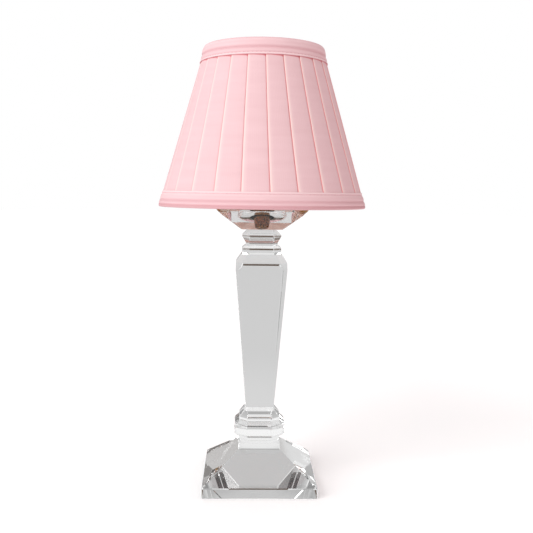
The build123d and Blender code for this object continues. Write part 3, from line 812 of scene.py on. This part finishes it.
# bands: folded strips of the same silk, a rolled edge, a stitch groove and a turn over the wire
bandForm = {
    "segments": 240,
    "ease": 3,                                  # steps between two points of the outline
    "ripples": [(0.05, 7, 1), (0.03, 17, 2)],   # (mm, waves round, start)
}
topBandShape = {       # (mm out from the pleats, mm down from the top, painted shade below 0 and painted highlight above 0)
    "outside": [(0.08, 9.5, -0.5), (0.26, 9.65, -0.4), (0.48, 9.4, 0.1), (0.5, 8.95, 0.8), (0.3, 8.6, 0.9),
                (0.16, 8.35, -0.7), (0.3, 7.95, -0.15), (0.5, 7.2, 0.05), (0.46, 6.4, 0.0), (0.2, 5.8, -0.25),
                (0.16, 5.35, -0.45), (0.5, 4.7, -0.35), (0.82, 3.6, 0.2), (0.95, 2.3, 0.1), (0.9, 1.0, 0.4),
                (0.62, 0.1, 0.0), (0.1, -0.3, 0.0)],
    "over": [(-0.9, -0.36, 0), (-2.4, -0.3, 0), (-3.8, 0.05, 0), (-4.55, 0.7, 0), (-4.75, 1.8, 0), (-4.75, 5.2, 0)],
    "back": [(-4.5, 5.35, 0), (-4.38, 5.1, 0), (-4.38, 2.4, 0), (-4.2, 1.0, 0), (-3.6, 0.55, 0), (-2.2, 0.3, 0),
             (-0.6, 0.3, 0), (0.0, 1.0, 0), (0.03, 4.0, 0), (0.03, 8.9, -0.5)],
}
bottomBandShape = {    # (mm out from the pleats, mm up from the bottom, painted shade below 0 and painted highlight above 0)
    "outside": [(0.08, 9.6, 0.2), (0.26, 9.75, 0.5), (0.46, 9.5, 0.8), (0.46, 9.05, 0.7), (0.26, 8.7, 0.1),
                (0.14, 8.45, 0.0), (0.34, 7.9, 0.45), (0.62, 6.8, 0.1), (0.6, 5.6, 0.15), (0.34, 4.9, -0.25),
                (0.3, 4.4, -0.5), (0.58, 3.6, -0.3), (0.66, 2.7, 0.05), (0.4, 2.25, -0.3), (0.36, 2.05, -0.6),
                (0.42, 1.6, -0.9), (0.2, 0.75, -0.7), (-0.4, 0.12, -0.6)],
    "over": [(-1.2, 0.0, -0.3), (-2.4, 0.0, 0), (-3.8, 0.12, 0), (-4.55, 0.7, 0), (-4.75, 1.8, 0), (-4.75, 4.6, 0)],
    "back": [(-4.5, 4.75, 0), (-4.38, 4.5, 0), (-4.38, 2.4, 0), (-4.2, 1.0, 0), (-3.6, 0.55, 0), (-2.2, 0.48, 0),
             (-0.8, 0.6, 0), (0.0, 1.4, 0), (0.03, 4.0, 0), (0.03, 9.0, 0)],
}


def roundLoop(points, steps):
    # a closed line through the points, eased at each of them
    made = []
    count = len(points)
    for i in range(count):
        p0, p1, p2, p3 = (Vector(points[(i + k) % count]) for k in (-1, 0, 1, 2))
        for j in range(steps):
            t = j / steps
            made.append(0.5 * (2 * p1 + (p2 - p0) * t + (2 * p0 - 5 * p1 + 4 * p2 - p3) * t * t
                               + (3 * p1 - p0 - 3 * p2 + p3) * t ** 3))
    return made


def skinRings(made, rings, sheetPlace, flatSpot):
    # faces all the way round, each corner with its place on the flat sheet
    around, count = len(rings), len(rings[0])
    for i in range(around):
        for j in range(count):
            k, m = (i + 1) % around, (j + 1) % count
            face = made.faces.new((rings[i][j], rings[k][j], rings[k][m], rings[i][m]))
            face.smooth = True
            for corner, (u, v) in zip(face.loops, ((i, j), (i + 1, j), (i + 1, j + 1), (i, j + 1))):
                corner[sheetPlace].uv = flatSpot(u, v)
    bmesh.ops.recalc_face_normals(made, faces=made.faces)


def makeBand(name, shape, edgeHeight, side):
    loop = roundLoop(shape["outside"] + shape["over"] + shape["back"], bandForm["ease"])
    lengths = [0.0]
    for a, b in zip(loop, loop[1:] + loop[:1]):
        lengths.append(lengths[-1] + (b.xy - a.xy).length * mm)
    made = bmesh.new()
    sheetPlace = made.loops.layers.uv.new("UVMap")
    # each point's third number: painted shade in creases below 0, painted highlight on rolled edges above 0
    paintedShading = made.verts.layers.float.new("bandShading")
    rings = []
    for i in range(bandForm["segments"]):
        turn = math.tau * i / bandForm["segments"]
        ripple = sum(size * math.sin(turn * waves + start * side) for size, waves, start in bandForm["ripples"])
        ring = []
        for out, along, bandShading in loop:
            height = edgeHeight + side * along * mm
            radius = coneRadius(height) + (out + ripple * max(0.0, min(1.0, out))) * mm
            ring.append(made.verts.new((radius * math.cos(turn), radius * math.sin(turn), height)))
            ring[-1][paintedShading] = bandShading
        rings.append(ring)
    girth = math.tau * coneRadius(edgeHeight)
    skinRings(made, rings, sheetPlace, lambda u, v: (girth * u / bandForm["segments"], lengths[v]))
    mesh = bpy.data.meshes.new(name)
    made.to_mesh(mesh)
    return newObject(name, mesh, bandSilk), lengths[-1] / 2


topBand, topStrip = makeBand("folded_top_band", topBandShape, shadeTop, -1)
bottomBand, bottomStrip = makeBand("folded_bottom_band", bottomBandShape, shadeBottom, 1)
print("bands: strips of", round(topStrip / mm, 1), "and", round(bottomStrip / mm, 1), "mm")


# stitching: one row in the groove of each band
stitching = {"pitch": 2.5 * mm, "length": 1.75 * mm, "thread": 0.34 * mm, "sides": 6, "rings": 4,
             "topDown": 8.35 * mm, "bottomUp": 8.45 * mm, "out": 0.2 * mm, "lineSteps": 256}


def makeStitchTree():
    tree, given = newTree("stitchRow", {
        "Radius": "Float", "Height": "Float", "Pitch": "Float", "Length": "Float", "Thread": "Float",
        "Material": "Material"})
    row = addNode(tree, "GeometryNodeCurvePrimitiveCircle", inputs={
        "Resolution": stitching["lineSteps"], "Radius": given["Radius"]})
    lift = addNode(tree, "ShaderNodeCombineXYZ", inputs={2: given["Height"]})
    raised = addNode(tree, "GeometryNodeTransform", inputs={"Geometry": row, "Translation": lift})
    spots = addNode(tree, "GeometryNodeCurveToPoints", {"mode": "LENGTH"}, {"Curve": raised, "Length": given["Pitch"]})
    bead = addNode(tree, "GeometryNodeMeshUVSphere", inputs={
        "Segments": stitching["sides"], "Rings": stitching["rings"], "Radius": 0.5})
    size = addNode(tree, "ShaderNodeCombineXYZ", inputs={
        0: given["Thread"], 1: given["Thread"], 2: given["Length"]})
    stitch = addNode(tree, "GeometryNodeTransform", inputs={"Geometry": bead, "Scale": size})
    rows = addNode(tree, "GeometryNodeInstanceOnPoints", inputs={
        "Points": spots.outputs["Points"], "Instance": stitch, "Rotation": spots.outputs["Rotation"]})
    whole = addNode(tree, "GeometryNodeRealizeInstances", inputs={"Geometry": rows})
    return closeTree(tree, whole, given["Material"])


stitchTree = makeStitchTree()


def makeStitches(name, height):
    return bakeTree(name, stitchTree, {
        "Radius": coneRadius(height) + stitching["out"], "Height": height, "Pitch": stitching["pitch"],
        "Length": stitching["length"], "Thread": stitching["thread"], "Material": thread})


topStitches = makeStitches("top_band_stitches", shadeTop - stitching["topDown"])
bottomStitches = makeStitches("bottom_band_stitches", shadeBottom + stitching["bottomUp"])
print("stitches:", len(topStitches.data.polygons) + len(bottomStitches.data.polygons), "faces")


# lining: a card cone glued edge over edge, under the pleats
liningLow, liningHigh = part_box("shade_lining")
cardCone = {
    "inset": 1.6 * mm,
    "card": 0.5 * mm,
    "segments": 192,
    "rows": 8,
    "seamAt": 100,            # the segment where the lap begins
    "lap": 8,                 # segments
    "lapThick": 1.9,          # in cards
    "sheet": (0.4, 0.2),      # metres, for the card's fibre
    "sharp": 30.0,            # degrees
}


def makeLiningCone():
    made = bmesh.new()
    sheetPlace = made.loops.layers.uv.new("UVMap")
    rows = cardCone["rows"]
    heights = [liningLow.z + (liningHigh.z - liningLow.z) * k / rows for k in range(rows + 1)]
    rings = []
    for i in range(cardCone["segments"]):
        turn = math.tau * i / cardCone["segments"]
        lapped = 0 <= i - cardCone["seamAt"] < cardCone["lap"]
        inner = cardCone["inset"] + cardCone["card"] * (cardCone["lapThick"] if lapped else 1.0)
        profile = [(coneRadius(z) - cardCone["inset"], z) for z in heights]
        profile += [(coneRadius(z) - inner, z) for z in reversed(heights)]
        rings.append([made.verts.new((r * math.cos(turn), r * math.sin(turn), z)) for r, z in profile])
    wide, long = cardCone["sheet"]
    count = len(rings[0])
    skinRings(made, rings, sheetPlace, lambda u, v: (u / cardCone["segments"] * wide, v / count * long))
    for edge in made.edges:
        edge.smooth = edge.calc_face_angle() < math.radians(cardCone["sharp"])
    mesh = bpy.data.meshes.new("card_lining")
    made.to_mesh(mesh)
    return newObject("card_lining", mesh, liningCard)


cardLining = makeLiningCone()

thicken = cover.modifiers.new("cloth", "SOLIDIFY")
thicken.thickness = pleats["cloth"]
thicken.offset = -1.0

# what the shade's pieces ride on and stand for
for piece, nodeName, slotName in ((cover, "shade_cover", "pink_silk"), (topBand, "top_band", "pink_silk"),
                                  (bottomBand, "bottom_band", "pink_silk"), (cardLining, "shade_lining", "lining")):
    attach(piece, "shade")
    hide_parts(nodeName)
for piece in (topStitches, bottomStitches):
    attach(piece, "shade")
print("shade: cover, bands, stitches and lining ride with it")

# spring: a copy of the coil in spring steel, riding with the tube; the real coil shortens as the candle is pressed
# down, this copy keeps its rest shape
coil = newObject("feed_spring", cadNodes["candle_spring"].data.copy())
coil.data.materials.clear()
coil.data.materials.append(springSteel)
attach(coil, "tube")
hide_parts("candle_spring")
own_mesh(coil)
